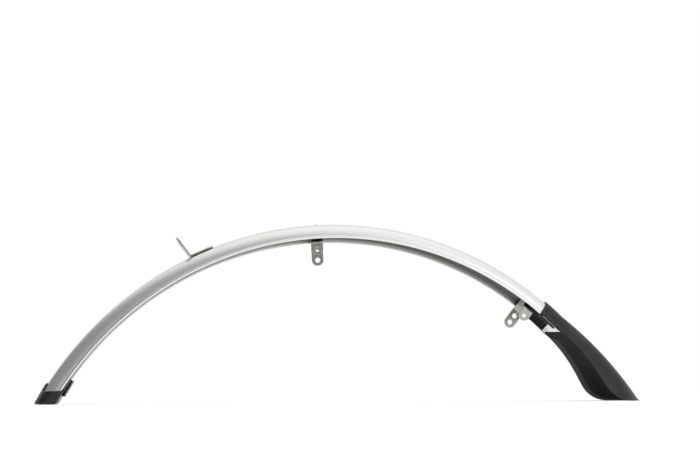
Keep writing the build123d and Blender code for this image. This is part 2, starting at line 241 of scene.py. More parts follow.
# The faces under each bead take the painted shade. The inner faces and the bead's inward faces take the
# inside finish, and the rest takes the satin outside.
for number, face in enumerate(blade.data.polygons):
    k = number % count if number < rows * count else 0
    round_bead = min(k, len(roll) - 2 - k)
    if k >= len(roll) - 1 or 12 <= round_bead <= 13:
        face.material_index = 1
    else:
        face.material_index = 2 if 4 <= round_bead <= 11 else 0


# Front end cap. A cup moulded in black polypropylene and pushed over the end of the blade, with a
# rounded tongue outside for the thumb. Its rim and foot are level, and its skin has a fine grain.
cap_half, cap_crown, cap_bend, cap_corner, cap_mouth = 0.0270, 0.3695, 0.05245, 0.0095, 0.3480
cap_wall, cap_floor, cap_rim, cap_tongue, tongue_half = 0.0018, 0.0025, 0.0140, 0.0227, 0.0110
cap_toe, cap_edge, mouth_corner = 0.0026, 0.0006, 0.0022
foot_round, top_round = 0.0025, 0.0055
toe_steps, wall_steps, edge_steps, pocket_steps = 8, 10, 4, 8


def cup_loop(inset, steps=34):
    """Closed outline of the cup, set in from its outer face, from the middle of its mouth side."""
    half, foot = cap_half - inset, cap_mouth + inset
    bend = max(0.0004, mouth_corner - inset)
    crown, arc, corner = cap_crown - inset, cap_bend - inset, cap_corner - inset
    arch = arch_line(half, crown, arc, corner, foot + bend, 6, 10, steps)
    side = [(k / 6 * (half - bend), foot) for k in range(6)]
    for k in range(6):
        a = -math.pi / 2 + math.pi / 2 * k / 6
        side.append((half - bend + bend * math.cos(a), foot + bend + bend * math.sin(a)))
    middle = [(y, r) for y, r, _, _ in arch]
    return side + middle + [(-y, r) for y, r in reversed(side[1:])]


def rim_height(y, r):
    """Level rim, and on the crown side the rounded tongue that stands up from it."""
    if r < cap_crown - 0.004:
        return cap_rim
    y = abs(y)
    if y >= tongue_half + foot_round:
        return cap_rim
    if y > tongue_half:
        return cap_rim + foot_round - math.sqrt(foot_round**2 - (tongue_half + foot_round - y) ** 2)
    if y > tongue_half - top_round:
        over = y - tongue_half + top_round
        return cap_tongue - top_round + math.sqrt(max(0, top_round**2 - over**2))
    return cap_tongue


def moulded(name, tint, rough, grain, sheen=0.35):
    """Black moulding: charcoal, a fine spark grain, and faint flow clouds in the gloss."""
    mat = bpy.data.materials.new(name)
    mat.use_nodes = True
    nodes, links = mat.node_tree.nodes, mat.node_tree.links
    bsdf = nodes["Principled BSDF"]
    bsdf.inputs["Specular IOR Level"].default_value = sheen
    place = nodes.new("ShaderNodeTexCoord")
    spark = nodes.new("ShaderNodeTexNoise")
    spark.inputs["Scale"].default_value = grain
    spark.inputs["Detail"].default_value = 3
    flow = nodes.new("ShaderNodeTexNoise")
    flow.inputs["Scale"].default_value = 45
    flow.inputs["Detail"].default_value = 4
    flow.inputs["Distortion"].default_value = 0.8
    links.new(place.outputs["Object"], spark.inputs["Vector"])
    links.new(place.outputs["Object"], flow.inputs["Vector"])
    colour = nodes.new("ShaderNodeValToRGB")
    colour.color_ramp.elements[0].position, colour.color_ramp.elements[1].position = 0.32, 0.72
    colour.color_ramp.elements[0].color = (*(0.75 * c for c in tint), 1)
    colour.color_ramp.elements[1].color = (*(1.2 * c for c in tint), 1)
    links.new(flow.outputs[0], colour.inputs[0])
    links.new(colour.outputs[0], bsdf.inputs["Base Color"])
    gloss = nodes.new("ShaderNodeMapRange")
    gloss.inputs["To Min"].default_value = rough - 0.08
    gloss.inputs["To Max"].default_value = rough + 0.10
    links.new(flow.outputs[0], gloss.inputs["Value"])
    links.new(gloss.outputs[0], bsdf.inputs["Roughness"])
    bump = nodes.new("ShaderNodeBump")
    bump.inputs["Strength"].default_value = 0.25
    bump.inputs["Distance"].default_value = 0.00008
    links.new(spark.outputs[0], bump.inputs["Height"])
    links.new(bump.outputs[0], bsdf.inputs["Normal"])
    return mat


rows_of_cup = []
for k in range(toe_steps + 1):
    a = math.pi / 2 * k / toe_steps
    rows_of_cup.append((cap_toe * (1 - math.sin(a)), cap_toe * (1 - math.cos(a)), 0))
wall_from = len(rows_of_cup)
for k in range(1, wall_steps + 1):
    rows_of_cup.append((0.0, cap_toe, k / wall_steps))
rim_from = len(rows_of_cup)
for k in range(1, edge_steps + 1):
    a = math.pi / 2 * k / edge_steps
    rows_of_cup.append((cap_edge * (1 - math.cos(a)), cap_edge * math.sin(a), 1))
inside_from = len(rows_of_cup)
for k in range(edge_steps + 1):
    a = math.pi / 2 * k / edge_steps
    rows_of_cup.append((cap_wall - cap_edge * (1 - math.sin(a)), cap_edge * math.cos(a), 1))
pocket_from = len(rows_of_cup)
for k in range(1, pocket_steps + 1):
    rows_of_cup.append((cap_wall, cap_floor, 1 - k / pocket_steps))
outer_loop = cup_loop(0.0)
count = len(outer_loop)
verts, faces = [], []
for number, (inset, lift, share) in enumerate(rows_of_cup):
    loop = cup_loop(inset)
    for (y, r), (outer_y, outer_r) in zip(loop, outer_loop):
        top = rim_height(outer_y, outer_r) - cap_edge
        if number < wall_from:
            z = lift
        elif number < inside_from:
            z = cap_toe + (top - cap_toe) * min(share, 1) + (lift if number >= rim_from else 0)
        elif number < pocket_from:
            z = top + lift
        else:
            z = cap_floor + (top - cap_floor) * share
        verts.append((wheel_x - math.sqrt(r * r - (z - wheel_z) ** 2), y, z))
for row in range(len(rows_of_cup) - 1):
    for k in range(count):
        nxt = (k + 1) % count
        p, q = row * count, (row + 1) * count
        faces.append((p + k, p + nxt, q + nxt, q + k))
faces.append(tuple(reversed(range(count))))
faces.append(tuple(range((len(rows_of_cup) - 1) * count, len(rows_of_cup) * count)))
cap_cup = put_in_scene("end_cap_cup", verts, faces, "front_end_cap", 45)
cap_black = moulded("cap_black", (0.010, 0.0104, 0.0108), 0.33, 2600, 0.5)
cap_cup.data.materials.append(cap_black)

# Grip of the cap. A wedge moulded in one with the cup on its mouth side, where fingers pull it off.
# Slanting ribs run across its face and sides, and their slant changes hands in the middle.
grip_level, grip_seat = 0.0185, 0.3498
grip_turn = -math.acos((axis_drop + grip_level) / grip_seat)
grip_long, grip_half, grip_back = 0.0095, 0.0140, 0.0009
grip_thick, grip_taper, grip_round, grip_fine = 0.0052, 0.0012, 0.0011, 0.0009
rib_pitch, rib_depth, rib_slant, rib_square = 0.0021, 0.00034, 0.9, 1.8
plain_end, plain_fade = 0.0009, 0.0008
along = Vector((math.cos(grip_turn), 0, -math.sin(grip_turn)))
outward = Vector((math.sin(grip_turn), 0, math.cos(grip_turn)))
middle = Vector(on_arc(grip_seat, grip_turn, 0))
rows, verts, faces = 120, [], []
for row in range(rows + 1):
    share = row / rows
    thick = grip_thick - grip_taper * share - grip_back
    place_s = -grip_long + 2 * grip_long * share
    from_end = min(place_s + grip_long, grip_long - place_s)
    ease = grip_round - math.sqrt(max(0, grip_round**2 - max(0, grip_round - from_end) ** 2))
    loop = []
    for cy, ct, a0 in ((1, 1, 0), (-1, 1, 90), (-1, -1, 180), (1, -1, 270)):
        for k in range(7):
            a = math.radians(a0 + 90 * k / 6)
            y = cy * (grip_half - grip_round) + grip_round * math.cos(a)
            t = ct * (thick / 2 - grip_round) + grip_round * math.sin(a)
            loop.append((y, t, math.cos(a), math.sin(a)))
    full = []
    for a, b in zip(loop, loop[1:] + loop[:1]):
        full.append(a)
        gap = math.dist(a[:2], b[:2])
        for k in range(1, max(1, int(gap / grip_fine))):
            f = k / int(gap / grip_fine)
            full.append(tuple(a[j] + (b[j] - a[j]) * f for j in range(4)))
    for y, t, ny, nt in full:
        wave = math.sin(2 * math.pi * (place_s + rib_slant * t * (1 if y < 0 else -1)) / rib_pitch)
        tooth = rib_depth * max(-1.0, min(1.0, rib_square * wave)) - rib_depth
        tooth *= min(1, max(0, (from_end - plain_end) / plain_fade)) * (1 if nt > -0.5 else 0)
        y, t = y + ny * (tooth - ease), t + nt * (tooth - ease)
        depth = grip_back + thick / 2 + t
        verts.append(tuple(middle + along * place_s - outward * depth + Vector((0, y, 0))))
    count = len(full)
for row in range(rows):
    for k in range(count):
        nxt = (k + 1) % count
        p, q = row * count, (row + 1) * count
        faces.append((p + k, q + k, q + nxt, p + nxt))
faces += [tuple(range(count)), tuple(reversed(range(rows * count, (rows + 1) * count)))]
cap_grip = put_in_scene("end_cap_grip", verts, faces, None, 60)
cap_grip.data.materials.append(cap_black)


# Fork bracket. A strip of steel 1.5 mm thick and 20 mm wide, cut, drilled, bent up at its front end
# and zinc plated. Its foot is riveted flat on the crown, and the fork bolt goes through the upright.
def work_in(piece):
    """Give the piece the mesh that its modifiers make."""
    graph = bpy.context.evaluated_depsgraph_get()
    shaped = bpy.data.meshes.new_from_object(piece.evaluated_get(graph))
    piece.modifiers.clear()
    piece.data = shaped


def bent_strip(name, path, widths, sheet, place, holes, node, bevel, dimples=()):
    """Strip along a path of (a, b) points, half width by length, holes cut through, edges broken.

    Each dimple is (length along, depth, length of the rib, width of it). Its faces take the second
    material, a painted highlight.
    """
    run = [0.0]
    for p, q in zip(path, path[1:]):
        run.append(run[-1] + math.dist(p, q))
    normals = []
    for k in range(len(path)):
        p, q = path[max(0, k - 1)], path[min(len(path) - 1, k + 1)]
        step = math.dist(p, q)
        normals.append((-(q[1] - p[1]) / step, (q[0] - p[0]) / step))
    across, around, drill_reach = 14, 40, 0.004
    verts, faces = [], []
    for k, ((a, b), (na, nb)) in enumerate(zip(path, normals)):
        half = widths(run[k], run[-1])
        for side in (0.5, -0.5):
            for j in range(across + 1):
                w = half * (2 * j / across - 1)
                off = side * sheet + sum(
                    deep * math.exp(-(((run[k] - s) / long) ** 2) - (w / wide) ** 2)
                    for s, deep, long, wide in dimples
                )
                verts.append(tuple(place(a + na * off, b + nb * off, w)))
    ring = 2 * (across + 1)
    last = (len(path) - 1) * ring
    for k in range(len(path) - 1):
        for j in range(across):
            p, q = k * ring + j, (k + 1) * ring + j
            faces.append((p, p + 1, q + 1, q))
            p, q = p + across + 1, q + across + 1
            faces.append((p + 1, p, q, q + 1))
        for j, turned in ((0, -1), (across, 1)):
            p, q = k * ring + j, (k + 1) * ring + j
            faces.append((p, p + across + 1, q + across + 1, q)[::turned])
    for start, turned in ((0, 1), (last, -1)):
        for j in range(across):
            p = start + j
            faces.append((p, p + across + 1, p + across + 2, p + 1)[::turned])
    piece = put_in_scene(name, verts, faces, node, 35)
    for number, face in enumerate(piece.data.polygons):
        k = number // (2 * across + 2)
        at_dimple = any(abs(run[min(k, len(path) - 1)] - dimple[0]) < 0.0011 for dimple in dimples)
        face.material_index = int(k < len(path) - 1 and at_dimple)
    for centre, axis, diameter in holes:
        drill_mesh = bpy.data.meshes.new(name + "_drill")
        drill = bpy.data.objects.new(name + "_drill", drill_mesh)
        turn = Vector((0, 0, 1)).rotation_difference(axis).to_matrix()
        points = []
        for z in (-drill_reach, drill_reach):
            for k in range(around):
                a = 2 * math.pi * k / around
                spot = turn @ Vector((diameter / 2 * math.cos(a), diameter / 2 * math.sin(a), z))
                points.append(tuple(centre + spot))
        sides = [(k, (k + 1) % around, around + (k + 1) % around, around + k) for k in range(around)]
        ends = [tuple(reversed(range(around))), tuple(range(around, 2 * around))]
        drill_mesh.from_pydata(points, [], sides + ends)
        bpy.context.scene.collection.objects.link(drill)
        cut = piece.modifiers.new("hole", "BOOLEAN")
        cut.operation, cut.solver, cut.object = "DIFFERENCE", "EXACT", drill
        work_in(piece)
        bpy.data.objects.remove(drill)
    breaks = piece.modifiers.new("broken_edges", "BEVEL")
    breaks.width, breaks.segments, breaks.limit_method = bevel, 2, "ANGLE"
    breaks.angle_limit = math.radians(50)
    work_in(piece)
    piece.data.shade_smooth()
    piece.data.set_sharp_from_angle(angle=math.radians(38))
    return piece


def filleted(points, radii, fine=0.0007):
    """The points joined by straight runs and rounded corners, in short steps."""
    line = [points[0]]
    for k in range(1, len(points) - 1):
        p, q, s = (Vector(v) for v in points[k - 1 : k + 2])
        back, on = (p - q).normalized(), (s - q).normalized()
        half = math.acos(max(-1, min(1, back.dot(on)))) / 2
        radius = radii[k - 1]
        if radius <= 0 or half > 1.56:
            line.append(tuple(q))
            continue
        centre = q + (back + on).normalized() * radius / math.sin(half)
        a = q + back * radius / math.tan(half) - centre
        b = q + on * radius / math.tan(half) - centre
        steps = max(4, int((math.pi - 2 * half) / 0.16))
        for step in range(steps + 1):
            f = step / steps
            spot = (a * (1 - f) + b * f).normalized() * radius
            line.append(tuple(centre + spot))
    line.append(points[-1])
    short = [line[0]]
    for p, q in zip(line, line[1:]):
        steps = max(1, round(math.dist(p, q) / fine))
        for k in range(1, steps + 1):
            short.append((p[0] + (q[0] - p[0]) * k / steps, p[1] + (q[1] - p[1]) * k / steps))
    return short


def zinc_plated(name, tint, rough):
    """Bright zinc over cut steel: a warm grey with a soft crystalline cloud and fine scratches."""
    mat = bpy.data.materials.new(name)
    mat.use_nodes = True
    nodes, links = mat.node_tree.nodes, mat.node_tree.links
    bsdf = nodes["Principled BSDF"]
    bsdf.inputs["Metallic"].default_value = 1.0
    place = nodes.new("ShaderNodeTexCoord")
    cloud = nodes.new("ShaderNodeTexNoise")
    cloud.inputs["Scale"].default_value = 420
    cloud.inputs["Detail"].default_value = 5
    scratch = nodes.new("ShaderNodeTexNoise")
    scratch.inputs["Scale"].default_value = 1.0
    scratch.inputs["Detail"].default_value = 3
    stretch = nodes.new("ShaderNodeMapping")
    stretch.inputs["Scale"].default_value = (300, 2200, 5200)
    stretch.inputs["Rotation"].default_value = (0.3, 0.5, 0.2)
    links.new(place.outputs["Object"], cloud.inputs["Vector"])
    links.new(place.outputs["Object"], stretch.inputs["Vector"])
    links.new(stretch.outputs[0], scratch.inputs["Vector"])
    both = nodes.new("ShaderNodeMix")
    both.inputs[0].default_value = 0.4
    links.new(cloud.outputs[0], both.inputs[2])
    links.new(scratch.outputs[0], both.inputs[3])
    colour = nodes.new("ShaderNodeValToRGB")
    colour.color_ramp.elements[0].position, colour.color_ramp.elements[1].position = 0.33, 0.68
    colour.color_ramp.elements[0].color = (*(0.80 * c for c in tint), 1)
    colour.color_ramp.elements[1].color = (*tint, 1)
    links.new(both.outputs[0], colour.inputs[0])
    links.new(colour.outputs[0], bsdf.inputs["Base Color"])
    gloss = nodes.new("ShaderNodeMapRange")
    gloss.inputs["To Min"].default_value = rough - 0.08
    gloss.inputs["To Max"].default_value = rough + 0.12
    links.new(both.outputs[0], gloss.inputs["Value"])
    links.new(gloss.outputs[0], bsdf.inputs["Roughness"])
    bump = nodes.new("ShaderNodeBump")
    bump.inputs["Strength"].default_value = 0.15
    bump.inputs["Distance"].default_value = 0.00006
    links.new(scratch.outputs[0], bump.inputs["Height"])
    links.new(bump.outputs[0], bsdf.inputs["Normal"])
    return mat


fork_turn, fork_sheet, fork_foot, fork_upright = math.radians(-24.4), 0.0015, 0.0270, 0.0260
fork_half, foot_corner, upright_round, fork_knee = 0.0100, 0.006, 0.009, 0.0025
fork_hole, rivet_hole, fork_spots = 0.0065, 0.0042, (-0.0045, 0.0070)
broken_edge = 0.00018
fork_origin = Vector(on_arc(crown_radius, fork_turn, 0))
fork_along = Vector((math.cos(fork_turn), 0, -math.sin(fork_turn)))
fork_out = Vector((math.sin(fork_turn), 0, math.cos(fork_turn)))
lean = math.radians(102.4)
knee = (-fork_foot / 2, fork_sheet / 2)
tip = (knee[0] + fork_upright * math.cos(lean), knee[1] + fork_upright * math.sin(lean))


def fork_place(a, b, w):
    return fork_origin + fork_along * a + fork_out * b + Vector((0, w, 0))


def fork_half_width(s, whole):
    """20 mm wide: corners of 6 mm at the foot, and a rounded end of 9 mm on the upright."""
    half = fork_half
    if s < foot_corner:
        half -= foot_corner - math.sqrt(max(0, foot_corner**2 - (foot_corner - s) ** 2))
    if whole - s < upright_round:
        over = upright_round - whole + s
        half -= upright_round - math.sqrt(max(0, upright_round**2 - over**2))
    return max(half, 0.001)


fork_path = filleted([(fork_foot / 2, knee[1]), knee, tip], [fork_knee], 0.0005)
upright = Vector((math.cos(lean), math.sin(lean)))
bolt = Vector(knee) + upright * (fork_upright - upright_round)
bolt_axis = fork_along * -upright.y + fork_out * upright.x
fork_holes = [(fork_place(bolt.x, bolt.y, 0), bolt_axis, fork_hole)]
fork_holes += [(fork_place(a, 0.0007, 0), fork_out, rivet_hole) for a in fork_spots]
zinc = zinc_plated("bright_zinc", (0.50, 0.487, 0.452), 0.31)
fork = bent_strip(
    "fork_bracket_strip",
    fork_path,
    fork_half_width,
    fork_sheet,
    fork_place,
    fork_holes,
    "fork_bracket",
    broken_edge,
)
fork.data.materials.append(zinc)

# Stay brackets. Two like pressings of 1.5 mm zinc-plated strip: a saddle riveted inside the crown, a
# knee under each lip and an ear on each side with holes for the stay bolts. The ear on the +Y side is
# longer and has two holes. A small rib is pressed across each knee to stiffen it.
stay_sheet, stay_half, stay_end = 0.0015, 0.0065, 0.0063
saddle_gap, saddle_half, saddle_steps = 0.0003, 0.010, 8
saddle_top = crown_radius - blade_sheet - saddle_gap - stay_sheet / 2
saddle_bend = crown_bend - half_sheet - saddle_gap - stay_sheet / 2
knee_out, ear_out, stay_bend = 0.0135, 0.017, 0.0018
knee_level, ear_level, hole_level, hole_pitch = 0.3506, 0.3464, 0.3390, 0.009
short_end = hole_level - stay_end
long_end = short_end - hole_pitch
stay_hole, front_stay_turn, rear_stay_turn = 0.0058, -3.95, 38.05
# Painted highlight: the faces at the rib on each knee are painted nearly twice as light as the zinc, and
# they are also rougher.
painted_highlight_zinc = zinc_plated("painted_highlight_zinc", (0.95, 0.94, 0.91), 0.55)


def stay_half_width(s, whole):
    """13 mm wide with fully rounded ends."""
    near = min(s, whole - s)
    if near >= stay_end:
        return stay_half
    return max(0.0008, stay_half - stay_end + math.sqrt(max(0, stay_end**2 - (stay_end - near) ** 2)))


for side, turn, swivel in (("front", front_stay_turn, -7.5), ("rear", rear_stay_turn, 2.5)):
    turn = math.radians(turn)
    swing = math.radians(swivel)
    out = Vector((math.sin(turn), 0, math.cos(turn)))
    wide = (Matrix.Rotation(swing, 3, out) @ Vector((0, 1, 0))).normalized()
    length = wide.cross(out)
    hub = Vector((wheel_x, 0, wheel_z))

    def stay_place(a, b, w, hub=hub, wide=wide, out=out, length=length):
        return hub + wide * a + out * b + length * w

    saddle = []
    for k in range(2 * saddle_steps + 1):
        t = math.asin(saddle_half / saddle_bend) * (k / saddle_steps - 1)
        saddle.append((saddle_bend * math.sin(t), saddle_top - saddle_bend * (1 - math.cos(t))))
    left = [(-ear_out, short_end), (-ear_out, ear_level), (-knee_out, knee_level)]
    right = [(knee_out, knee_level), (ear_out, ear_level), (ear_out, long_end)]
    bends = [stay_bend] * 3 + [0] * (len(saddle) - 2) + [stay_bend] * 3
    path = filleted(left + saddle + right, bends, 0.0008)
    lengths = [0.0]
    for p, q in zip(path, path[1:]):
        lengths.append(lengths[-1] + math.dist(p, q))
    ribs = []
    for ear in (-ear_out, ear_out):
        bend = [s for s, p in zip(lengths, path) if math.dist(p, (ear, ear_level)) < 0.0012]
        ribs.append((sum(bend) / len(bend), -0.0005, 0.0022, 0.0016))
    holes = [(stay_place(a, hole_level, 0), wide, stay_hole) for a in (-ear_out, ear_out)]
    holes.append((stay_place(ear_out, hole_level - hole_pitch, 0), wide, stay_hole))
    holes.append((stay_place(0, saddle_top, 0), out, rivet_hole))
    node = side + "_stay_bracket"
    bracket = bent_strip(
        node + "_strip", path, stay_half_width, stay_sheet, stay_place, holes, node, broken_edge, ribs
    )
    bracket.data.materials.append(zinc)
    bracket.data.materials.append(painted_highlight_zinc)


# Rivets. Aluminium, 4 mm, with a low domed head on the outside and a set tail inside: two through the
# foot of the fork bracket, one through each stay bracket and one through the flap and the tongue.
head_radius, head_high, tail_radius, tail_high = 0.00375, 0.0009, 0.003, 0.0014
shank_radius, saddle_curve, flap_crown, flap_rivet_turn = 0.002, 0.025, 0.3697, 43.0


def rivet_mesh(place, grip, start=0):
    """One rivet turned about its own axis; place gives a point from (distance, turn, height)."""
    tail_lift = 2 * (saddle_curve - math.sqrt(saddle_curve**2 - tail_radius**2))
    grip = grip + tail_lift
    profile = []
    dome = (head_radius**2 + head_high**2) / (2 * head_high)
    for k in range(9):
        d = head_radius * k / 8 * 0.97
        profile.append((d, head_high - dome + math.sqrt(dome**2 - d**2)))
    profile += [(0.00372, 0.00005), (0.00368, 0.0)]
    profile += [(shank_radius, 0.0), (shank_radius, -grip), (0.00285, -grip)]
    tail = (tail_radius**2 + tail_high**2) / (2 * tail_high)
    for k in range(7):
        d = tail_radius * (1 - k / 6)
        profile.append((d, -grip - (math.sqrt(tail**2 - d**2) - tail + tail_high)))
    around, verts, faces = 40, [], []
    for d, h in profile:
        verts += [place(max(d, 1e-6), 2 * math.pi * k / around, h) for k in range(around)]
    for row in range(len(profile) - 1):
        for k in range(around):
            nxt = (k + 1) % around
            p = start + row * around
            faces.append((p + k, p + around + k, p + around + nxt, p + nxt))
    faces.append(tuple(start + k for k in range(around)))
    faces.append(tuple(start + (len(profile) - 1) * around + k for k in reversed(range(around))))
    return verts, faces


rivet_finish = anodised("rivet_aluminium", (0.80, 0.80, 0.79), 0.24, 0.0)
rivet_turns = [math.radians(turn) for turn in (front_stay_turn, rear_stay_turn, flap_rivet_turn)]
rivets = [
    ("fork_bracket_rivets", fork_turn, crown_radius, fork_spots, fork_sheet, 0.0015 + 0.0009),
    ("front_stay_rivet", rivet_turns[0], crown_radius, (0.0,), 0.0, 0.0027),
    ("rear_stay_rivet", rivet_turns[1], crown_radius, (0.0,), 0.0, 0.0027),
    ("flap_rivet", rivet_turns[2], flap_crown, (0.0,), 0.0, 0.0022 + 0.0009 + 0.0002 + 0.0015),
]
for node, turn, level, spots, lift, grip in rivets:
    out = Vector((math.sin(turn), 0, math.cos(turn)))
    onward = Vector((math.cos(turn), 0, -math.sin(turn)))
    verts, faces = [], []
    for spot in spots:
        seat = Vector(on_arc(level + lift, turn, 0)) + onward * spot
        reach = abs(spot) + tail_radius
        bow = crown_radius - math.sqrt(crown_radius**2 - reach**2) if spot else 0.0

        def rivet_place(d, a, h, seat=seat, out=out, onward=onward):
            sideways = Vector((0, d * math.sin(a), 0))
            return tuple(seat + out * h + onward * (d * math.cos(a)) + sideways)

        more, rings = rivet_mesh(rivet_place, grip + bow, len(verts))
        verts += more
        faces += rings
    rivet = put_in_scene(node + "_turned", verts, faces, node, 50)
    rivet.data.materials.append(rivet_finish)


# Mud flap. One moulding in black soft plastic, 2 mm thick: a sleeve over the end of the blade, an
# inner band under it with hooks round the beads, and two wings that splay out to a level foot. The
# sleeve is drawn down over the beads as a skirt. It is held by the hooks and one rivet in the crown.
flap_gap, flap_wall = 0.0002, 0.0020
flap_half, flap_bend, flap_corner = wall_face + 0.0022, 0.05265, 0.01565
sleeve_turn, band_turn = math.radians(40.2), math.radians(44.0)
step_turn = bead_end + 0.0034 / edge_radius
tip_out, tip_wide, tip_corner = 0.0155, 0.0135, 0.0140
tip_turn = math.acos(axis_drop / (flap_crown + tip_out))
sleeve_foot, wing_foot, wing_round = 0.3534, 0.3510, 0.034
rim_wide, splay_wide, skirt_flare, rim_thinner, edge_round_to = 0.0055, 0.0170, 0.0024, 0.0010, 0.0005
columns, sleeve_rows, wing_rows, band_rows, rim_highlight_columns = 39, 16, 84, 12, 9
band_wall, hook_wall, lip_drop = 0.0015, 0.0018, 0.0014


def flap_size(turn):
    """Half width, crown radius and shoulder radius of the flap at a turn."""
    share = max(0.0, (turn - band_turn) / (tip_turn - band_turn))
    lip = 0.0010 * math.exp(-((((tip_turn - turn) * 0.385 - 0.0008) / 0.0016) ** 2))
    crown = flap_crown + tip_out * share**1.08 + lip
    return flap_half + tip_wide * share, crown, flap_corner + (tip_corner - flap_corner) * share


def free_edge(turn):
    """Radius of the free edge at a turn: along the bead, the wing, round the corner, then level."""
    inner = wing_foot - 0.0010 + wing_round
    corner_z = axis_drop + wing_round
    corner_x = math.sqrt(inner**2 - corner_z**2)
    leaves = math.atan2(corner_x, corner_z)
    lands = math.atan2(corner_x, axis_drop)
    if turn <= bead_end:
        return wing_foot - 0.0012
    if turn <= leaves:
        rise = 0.0012 * min(0.0, (turn - bead_end) / 0.03 - 1)
        return wing_foot + rise + 0.0014 * math.sin(math.pi * (turn - bead_end) / 0.18)
    if turn >= lands:
        return axis_drop / math.cos(turn)
    along_ray = corner_x * math.sin(turn) + corner_z * math.cos(turn)
    return along_ray - math.sqrt(max(0.0, along_ray**2 - (corner_x**2 + corner_z**2 - wing_round**2)))


def flap_half_line(turn):
    """From the crown down one side to the free edge: points, normals, distance left to the edge."""
    half, crown, corner = flap_size(turn)
    arch = arch_line(half, crown, flap_bend, corner, 0.330, 40, 30, 30)
    side = list(reversed(arch[: len(arch) // 2 + 1]))
    foot = free_edge(turn)
    line = [side[0]]
    for p, q in zip(side, side[1:]):
        if q[1] <= foot:
            if p[1] - q[1] > 1e-9:
                f = (p[1] - foot) / (p[1] - q[1])
                line.append(tuple(p[j] + (q[j] - p[j]) * f for j in range(4)))
            break
        line.append(q)
    if len(line) < 2:
        line.append((line[0][0] + 1e-5, line[0][1] - 1e-9, line[0][2], line[0][3]))
    run = [0.0]
    for p, q in zip(line, line[1:]):
        run.append(run[-1] + math.dist(p[:2], q[:2]))
    points = []
    at = 0
    shrink = min(1.0, run[-1] / 0.012)
    rim = [0.0055, 0.0045, 0.0034, 0.0022, 0.0012, 0.0005, 0.00035, 0.0002, 0.00007, 0.0]
    rim = [step * shrink for step in rim]
    plain = columns + 1 - len(rim)
    wants = [(run[-1] - rim[0]) * k / plain for k in range(plain)]
    wants += [run[-1] - step for step in rim]
    for want in wants:
        while at < len(run) - 2 and run[at + 1] < want:
            at += 1
        f = (want - run[at]) / max(1e-12, run[at + 1] - run[at])
        p, q = line[at], line[at + 1]
        points.append((*(p[j] + (q[j] - p[j]) * f for j in range(4)), run[-1] - want))
    return points


def eased(share):
    """The share from 0 to 1 with a soft start and end."""
    share = max(0.0, min(1.0, share))
    return share * share * (3 - 2 * share)


def flare(turn, left, half):
    """How far the side stands out near its free edge: a skirt over the bead, then the splay."""
    on_wing = eased((turn - bead_end + 0.01) / 0.06)
    skirt = skirt_flare * eased((0.0055 - left) / 0.0033)
    edge_half = min(0.0408, 0.0306 + 0.0413 * (turn - bead_end))
    splay = (edge_half - half) * max(0.0, 1 - left / splay_wide) ** 2
    return skirt * (1 - on_wing) + splay * on_wing


turns = [sleeve_turn + (step_turn - sleeve_turn) * k / sleeve_rows for k in range(sleeve_rows + 1)]
for k in range(1, wing_rows):
    turns.append(step_turn + (tip_turn - step_turn) * (1 - (1 - k / wing_rows) ** 1.25))
turns.append(tip_turn - 0.00012)
verts, faces = [], []
for turn in turns:
    line = flap_half_line(turn)
    whole = [(-y, r, -ny, nr, left) for y, r, ny, nr, left in reversed(line[1:])] + line
    outer, inner = [], []
    half = flap_size(turn)[0]
    for y, r, ny, nr, left in whole:
        over = max(0, edge_round_to - left)
        edge_round = edge_round_to - math.sqrt(max(0, edge_round_to**2 - over**2))
        out = flare(turn, left, half)
        outer.append((y + ny * (out - edge_round), r - nr * edge_round))
        rim = rim_thinner * eased((turn - bead_end) / 0.03) * max(0.0, 1 - left / rim_wide) ** 0.8
        deep = flap_wall - rim - edge_round
        inner.append((y + ny * (out - deep), r - nr * deep))
    for y, r in outer + list(reversed(inner)):
        x, _, z = on_arc(r, turn, y)
        verts.append((x, y, max(z, 0.0)))
ring = 2 * (2 * columns + 1)
for row in range(len(turns) - 1):
    for k in range(ring):
        nxt = (k + 1) % ring
        p, q = row * ring, (row + 1) * ring
        faces.append((p + k, p + nxt, q + nxt, q + k))
for row, turned in ((0, 1), (len(turns) - 1, -1)):
    for k in range(2 * columns):
        faces.append(tuple(row * ring + j for j in (k, ring - 1 - k, ring - 2 - k, k + 1))[::turned])

# The inner band and the two hooks, which the same moulding holds under the blade
band_inset = blade_sheet + flap_gap
band_sizes = [size - band_inset for size in (wall_face, crown_radius, 0.05045, 0.01345)]
lip_foot = edge_radius - flap_gap - lip_drop
first = len(verts)
band_line = arch_line(*band_sizes, lip_foot, 8, 10, 10)
band_turns = [sleeve_turn + (band_turn - sleeve_turn) * k / band_rows for k in range(band_rows + 1)]
for turn in band_turns:
    verts += [on_arc(r, turn, y) for y, r, ny, nr in band_line]
    for y, r, ny, nr in reversed(band_line):
        verts.append(on_arc(r - nr * band_wall, turn, y - ny * band_wall))
ring = 2 * len(band_line)
for row in range(len(band_turns) - 1):
    for k in range(ring):
        nxt, p = (k + 1) % ring, first + row * ring
        faces.append((p + nxt, p + k, p + ring + k, p + ring + nxt))
for row, turned in ((0, -1), (len(band_turns) - 1, 1)):
    for k in range(len(band_line) - 1):
        p = first + row * ring
        faces.append(tuple(p + j for j in (k, ring - 1 - k, ring - 2 - k, k + 1))[::turned])
hook_in, hook_out = band_sizes[0] - band_wall, 0.0250 + flap_gap + 0.0008
